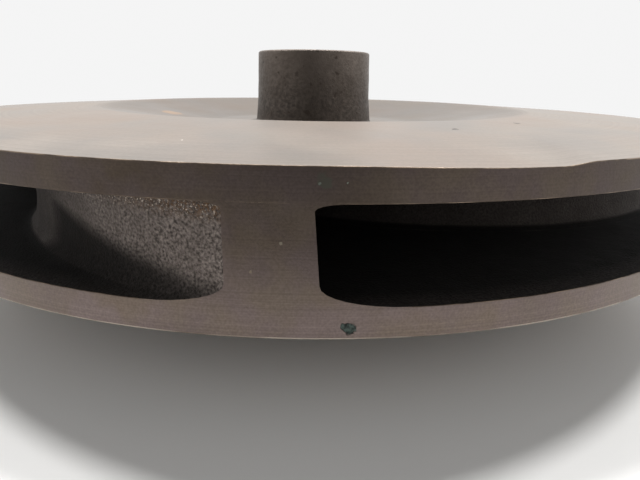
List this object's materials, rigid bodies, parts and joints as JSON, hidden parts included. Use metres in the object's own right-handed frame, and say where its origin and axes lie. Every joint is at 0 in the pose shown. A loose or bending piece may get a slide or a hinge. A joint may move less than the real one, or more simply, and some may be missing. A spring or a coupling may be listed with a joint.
{
  "type": "closed pump impeller",
  "caption": "Closed cast bronze impeller of a centrifugal pump: curved vanes between two shrouds, a bored hub with a keyway, and a suction neck.",
  "frame": {"origin": "middle of the suction neck's end face, which the impeller stands on", "axes": "+Z along the shaft axis, from the suction neck to the hub; -Y towards the camera of the picture"},
  "size_m": [0.33, 0.33, 0.0883],
  "materials": {
    "pale_bronze": "pale mottled patina on a turned face",
    "turned_bronze": "turned, dark brown tarnish",
    "cast_bronze": "sand cast, brown deposit",
    "dark_bronze": "dark tarnish, slightly rough"
  },
  "bodies": {
    "root": {"hub": "dark_bronze", "back_shroud": "pale_bronze", "front_shroud": "turned_bronze", "suction_neck": "turned_bronze", "vane_1": "cast_bronze", "vane_2": "cast_bronze", "vane_3": "cast_bronze", "vane_4": "cast_bronze"}
  },
  "joints": []
}
